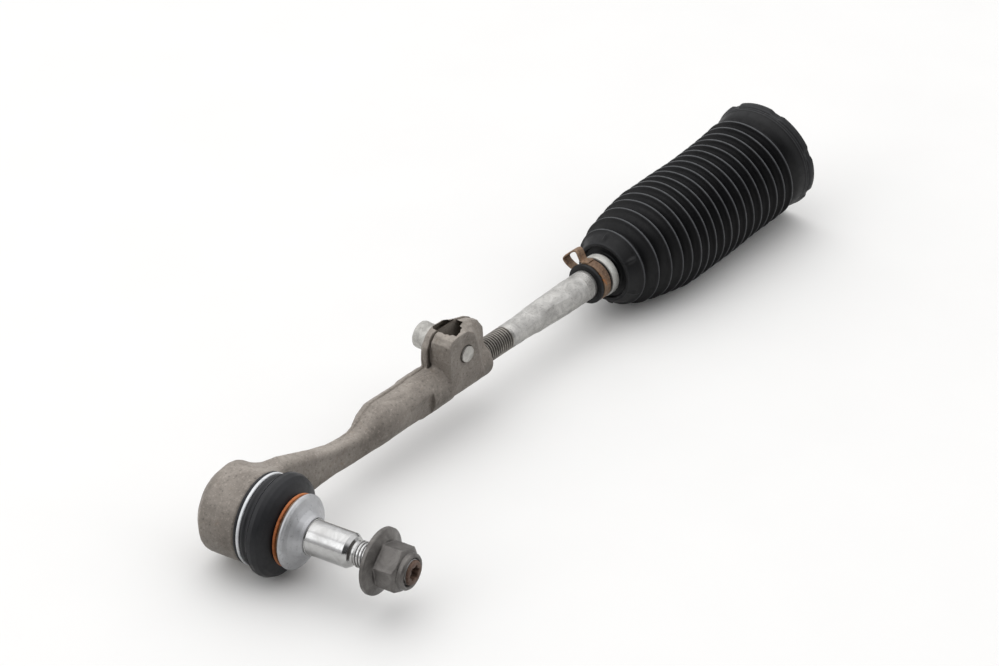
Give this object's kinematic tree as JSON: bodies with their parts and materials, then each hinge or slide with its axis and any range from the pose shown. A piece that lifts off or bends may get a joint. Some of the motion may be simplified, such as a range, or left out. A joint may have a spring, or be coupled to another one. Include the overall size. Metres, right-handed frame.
{
  "type": "tie rod end",
  "caption": "Steering tie rod assembly: forged outer ball joint with a clamp arm, threaded rod, and an inner axial joint under a ribbed rubber bellows.",
  "frame": {"origin": "centre of the outer ball, on the rod's axis", "axes": "+X along the rod towards the rack, -Y is the side of the ball stud, which leans 8.2 degrees towards +X, and +Z is the side of the clamp's ears"},
  "size_m": [0.4154, 0.1184, 0.0643],
  "materials": {
    "forged_steel": "rough shot-blasted forging with a thin rust bloom",
    "cover_steel": "pressed steel disc, dull",
    "bearing_plastic": "moulded acetal bearing shell, off-white",
    "bright_steel": "bright spring steel strip",
    "boot_rubber": "satin black moulded rubber",
    "copper_wire": "coppery orange coated wire",
    "satin_steel": "satin turned steel",
    "ground_steel": "ground and polished steel",
    "dark_steel": "dark grey coated steel",
    "zinc_steel": "dull zinc plate",
    "rod_steel": "mottled zinc plate, dark in the thread",
    "socket_steel": "turned steel, zinc plated",
    "spring_steel": "spring band with surface rust",
    "sleeve_steel": "galvanised sleeve, slightly stained",
    "bellows_rubber": "black moulded bellows rubber, worn grey on the crests"
  },
  "bodies": {
    "housing": {"outer_housing": "forged_steel", "closing_cover": "cover_steel", "outer_bearing_shell": "bearing_plastic", "boot_base_ring": "bright_steel", "pinch_bolt": "zinc_steel", "pinch_washer": "zinc_steel"},
    "boot": {"outer_boot": "boot_rubber"},
    "boot_neck": {"boot_neck_ring": "copper_wire", "stud_collar": "satin_steel"},
    "stud": {"ball_stud": "ground_steel"},
    "nut": {"stud_nut": "dark_steel"},
    "bellows": {"bellows": "bellows_rubber", "bellows_small_clamp": "spring_steel", "bellows_neck_sleeve": "sleeve_steel"},
    "tie_rod": {"tie_rod": "rod_steel"},
    "cuff": {"bellows_cuff": "bellows_rubber"},
    "inner_seat": {"inner_bearing_shell": "bearing_plastic"},
    "inner_socket": {"inner_socket": "socket_steel", "inner_retaining_ring": "socket_steel", "lock_washer": "zinc_steel"}
  },
  "joints": [
    {"name": "stud_tilt", "type": "hinge", "parent": "housing", "child": "boot", "pos_m": [0, 0, 0], "axis": [1, 0, 0], "range_deg": [-8, 8], "deforming": ["outer_boot"]},
    {"name": "stud_swing", "type": "hinge", "parent": "boot", "child": "boot_neck", "pos_m": [0, 0, 0], "axis": [0, 0, 1], "range_deg": [-15, 15], "deforming": ["outer_boot"]},
    {"name": "stud_spin", "type": "hinge", "parent": "boot_neck", "child": "stud", "pos_m": [0, 0, 0], "axis": [0.1426, -0.9898, 0], "continuous": true},
    {"name": "nut_unscrew", "type": "slide", "parent": "stud", "child": "nut", "axis": [0.1426, -0.9898, 0], "range_m": [0, 0.06]},
    {"name": "rod_turn", "type": "hinge", "parent": "bellows", "child": "tie_rod", "pos_m": [0, 0, 0], "axis": [1, 0, 0], "range_deg": [-1925, 1925]},
    {"name": "toe_adjust", "type": "slide", "parent": "housing", "child": "bellows", "axis": [1, 0, 0], "range_m": [-0.008, 0.008]},
    {"name": "bellows_stroke", "type": "slide", "parent": "bellows", "child": "cuff", "axis": [1, 0, 0], "range_m": [-0.032, 0.02], "stiffness_N_per_m": 200, "deforming": ["bellows"]},
    {"name": "inner_swing", "type": "hinge", "parent": "bellows", "child": "inner_seat", "pos_m": [0.322, 0, 0], "axis": [0, 0, 1], "range_deg": [-15, 15]},
    {"name": "inner_roll", "type": "hinge", "parent": "inner_seat", "child": "inner_socket", "pos_m": [0.322, 0, 0], "axis": [1, 0, 0], "continuous": true}
  ],
  "couplings": [
    {"joint": "rod_turn", "follows": "toe_adjust", "rad_per_m": 4188.8}
  ]
}
